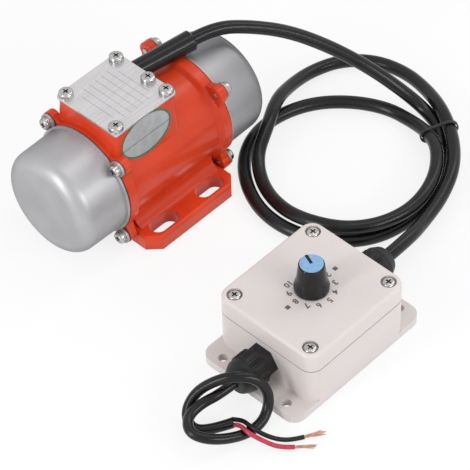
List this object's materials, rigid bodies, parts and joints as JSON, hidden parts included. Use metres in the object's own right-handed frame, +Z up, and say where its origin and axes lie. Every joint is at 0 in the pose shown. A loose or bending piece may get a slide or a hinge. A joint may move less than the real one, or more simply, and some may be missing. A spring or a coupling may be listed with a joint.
{
  "type": "vibration motor with speed controller",
  "caption": "Foot-mounted unbalance vibration motor with smooth end caps, a cable and a separate speed control box with a knob.",
  "frame": {"origin": "middle of the four foot slots, on the mounting plane", "axes": "+X along the shaft towards the cable end, +Z up, +Y away from the controller"},
  "size_m": [0.2385, 0.2055, 0.0709],
  "materials": {
    "housing_paint": "gloss orange-red paint on die-cast aluminium",
    "lamination_steel": "stacked laminations",
    "winding_copper": "enamelled copper wire",
    "shield_aluminium": "machined",
    "bearing_steel": "ground bearing steel",
    "weight_steel": "cut steel plate",
    "black_screw_steel": "blackened steel",
    "cap_aluminium": "satin grey drawn aluminium",
    "shaft_steel": "ground",
    "magnet": "nickel-plated magnet",
    "gasket_rubber": "matt black rubber",
    "screw_nickel": "nickel plated",
    "cover_steel": "brushed sheet",
    "sleeve_pvc": "soft black PVC tube",
    "cable_pvc": "soft black PVC jacket",
    "splice_plastic": "closed-end crimp caps",
    "box_plastic": "off-white ABS",
    "board_laminate": "green solder mask",
    "component_black": "black component bodies",
    "sink_aluminium": "extruded",
    "terminal_green": "green terminal blocks",
    "pot_metal": "plated can and nut",
    "knob_black": "matt black knob",
    "knob_blue": "blue cap",
    "gland_nylon": "black nylon",
    "wire_black": "black insulation",
    "wire_red": "crimson insulation",
    "bare_copper": "bare stranded copper"
  },
  "bodies": {
    "stand": {"black_wire": "wire_black", "board_screws": "screw_nickel", "cable_sleeve": "sleeve_pvc", "cable_tails": "cable_pvc", "cable_tie": "cable_pvc", "cap_gaskets": "gasket_rubber", "cap_screw_washers": "screw_nickel", "cap_screws": "screw_nickel", "capacitors": "component_black", "circuit_board": "board_laminate", "controller_base": "box_plastic", "controller_lid": "box_plastic", "front_bearing_outer_ring": "bearing_steel", "front_bearing_shield": "shield_aluminium", "front_cap": "cap_aluminium", "gland_bodies": "gland_nylon", "gland_locknuts": "gland_nylon", "gland_nuts": "gland_nylon", "gland_seals": "gasket_rubber", "heat_sink": "sink_aluminium", "lid_screws": "screw_nickel", "lid_seal": "gasket_rubber", "motor_cable": "cable_pvc", "motor_housing": "housing_paint", "potentiometer_body": "pot_metal", "potentiometer_nut": "pot_metal", "power_transistors": "component_black", "rear_bearing_outer_ring": "bearing_steel", "rear_bearing_shield": "shield_aluminium", "rear_cap": "cap_aluminium", "red_wire": "wire_red", "stator_core": "lamination_steel", "stator_windings": "winding_copper", "supply_lead": "cable_pvc", "terminal_blocks": "terminal_green", "terminal_cover": "cover_steel", "terminal_cover_screws": "screw_nickel", "terminal_cover_washers": "screw_nickel", "terminal_gasket": "gasket_rubber", "wire_ends": "bare_copper", "wire_splices": "splice_plastic"},
    "rotor": {"motor_shaft": "shaft_steel", "rotor_core": "lamination_steel", "rotor_magnets": "magnet", "shaft_keys": "black_screw_steel", "shaft_circlips": "black_screw_steel", "front_bearing_inner_ring": "bearing_steel", "rear_bearing_inner_ring": "bearing_steel", "front_fixed_weight": "weight_steel", "rear_fixed_weight": "weight_steel", "fixed_weight_screws": "black_screw_steel"},
    "front_balls": {"front_bearing_balls": "bearing_steel"},
    "rear_balls": {"rear_bearing_balls": "bearing_steel"},
    "front_weight": {"front_adjustable_weight": "weight_steel", "front_adjustable_screw": "black_screw_steel"},
    "rear_weight": {"rear_adjustable_weight": "weight_steel", "rear_adjustable_screw": "black_screw_steel"},
    "knob": {"control_knob": "knob_black", "knob_cap": "knob_blue", "potentiometer_spindle": "shaft_steel"}
  },
  "joints": [
    {"name": "rotor_spin", "type": "hinge", "parent": "stand", "child": "rotor", "pos_m": [0, 0, 0.0296], "axis": [1, 0, 0], "continuous": true},
    {"name": "front_cage_spin", "type": "hinge", "parent": "stand", "child": "front_balls", "pos_m": [0.026, 0, 0.0296], "axis": [1, 0, 0], "continuous": true},
    {"name": "rear_cage_spin", "type": "hinge", "parent": "stand", "child": "rear_balls", "pos_m": [-0.026, 0, 0.0296], "axis": [1, 0, 0], "continuous": true},
    {"name": "front_weight_set", "type": "hinge", "parent": "rotor", "child": "front_weight", "pos_m": [0.045, 0, 0.0296], "axis": [1, 0, 0], "range_deg": [0, 180]},
    {"name": "rear_weight_set", "type": "hinge", "parent": "rotor", "child": "rear_weight", "pos_m": [-0.045, 0, 0.0296], "axis": [1, 0, 0], "range_deg": [0, 180]},
    {"name": "knob_turn", "type": "hinge", "parent": "stand", "child": "knob", "pos_m": [-0.017, -0.124, 0.04], "axis": [0, 0, 1], "range_deg": [-300, 0]}
  ],
  "couplings": [
    {"joint": "front_cage_spin", "follows": "rotor_spin", "ratio": 0.3733},
    {"joint": "rear_cage_spin", "follows": "rotor_spin", "ratio": 0.3733}
  ]
}
